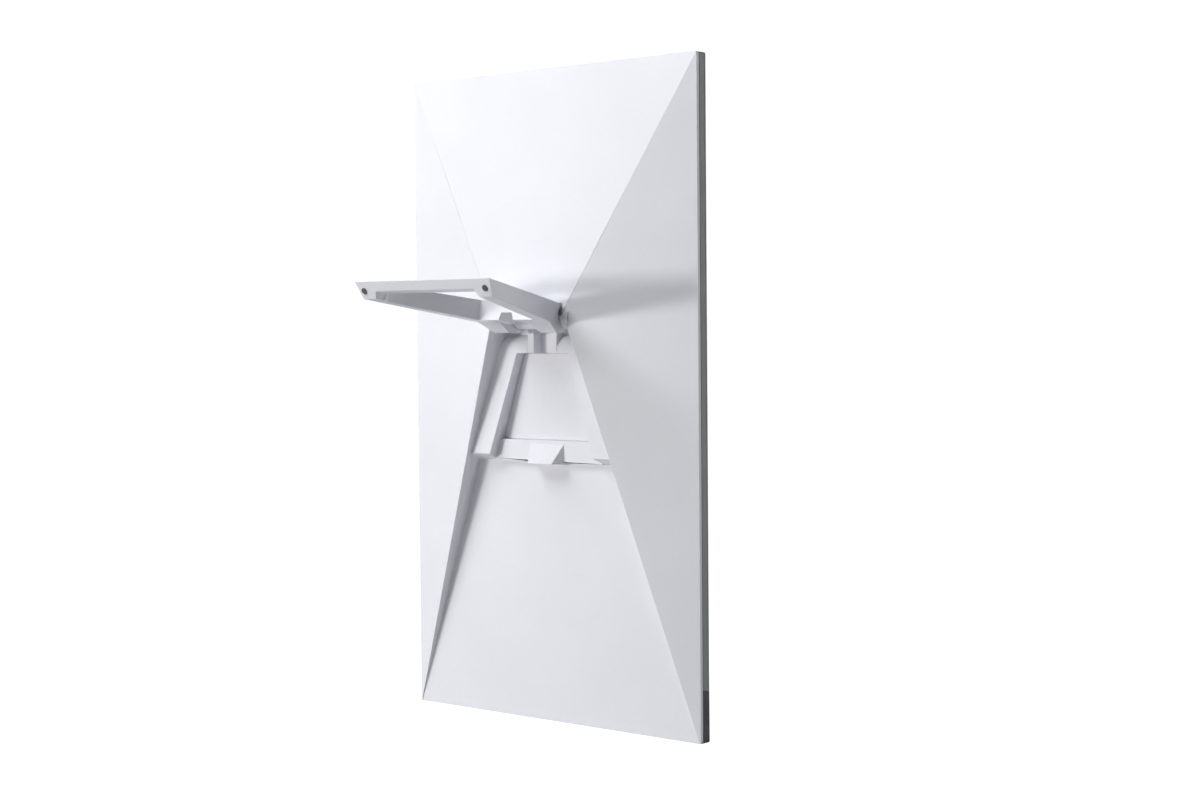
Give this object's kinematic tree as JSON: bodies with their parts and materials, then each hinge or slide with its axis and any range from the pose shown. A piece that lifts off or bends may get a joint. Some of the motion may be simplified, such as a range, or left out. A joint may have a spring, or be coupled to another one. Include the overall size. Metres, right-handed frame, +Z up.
{
  "type": "portable drawing board",
  "caption": "Tall drawing board with a dark framed panel, a white faceted back shell and an A-shaped leg that folds into the back on a friction hinge.",
  "frame": {"origin": "middle of the bottom edge's underside, half-way through the panel's thickness", "axes": "+Z up the board, -Y out of the drawing face, +X to the right of the person drawing"},
  "size_m": [0.344, 0.1784, 0.6],
  "materials": {
    "shell_plastic": "fine moulded texture, white",
    "leg_plastic": "fine moulded texture, white",
    "frame_plastic": "fine moulded texture, dark grey",
    "drawing_sheet": "matt melamine, light grey",
    "core_board": "light board, sanded",
    "backing_board": "matt black sheet",
    "seal_foam": "closed-cell foam, black",
    "grip_rubber": "matt rubber, near black",
    "pad_rubber": "matt rubber, mid grey",
    "zinc_steel": "zinc plated",
    "screw_steel": "zinc plated",
    "axle_steel": "ground steel",
    "bush_plastic": "natural nylon",
    "sleeve_brass": "turned"
  },
  "bodies": {
    "board": {"back_shell": "shell_plastic", "recess_cover": "shell_plastic", "edge_seal": "seal_foam", "front_frame": "frame_plastic", "base_grip": "grip_rubber", "drawing_surface": "drawing_sheet", "core_panel": "core_board", "backing_sheet": "backing_board", "hinge_plate": "zinc_steel", "hinge_screws": "screw_steel", "shell_screws": "screw_steel", "bush_left": "bush_plastic", "bush_right": "bush_plastic", "friction_sleeve": "sleeve_brass", "tension_screw": "screw_steel"},
    "leg": {"leg_frame": "leg_plastic", "hinge_axle": "axle_steel", "axle_set_screws": "screw_steel", "retaining_ring_left": "screw_steel", "retaining_ring_right": "screw_steel", "foot_pad_left": "pad_rubber", "foot_pad_right": "pad_rubber"}
  },
  "joints": [
    {"name": "leg_hinge", "type": "hinge", "parent": "board", "child": "leg", "pos_m": [0, 0.0285, 0.373], "axis": [1, 0, 0], "range_deg": [-98.4, 0]}
  ]
}
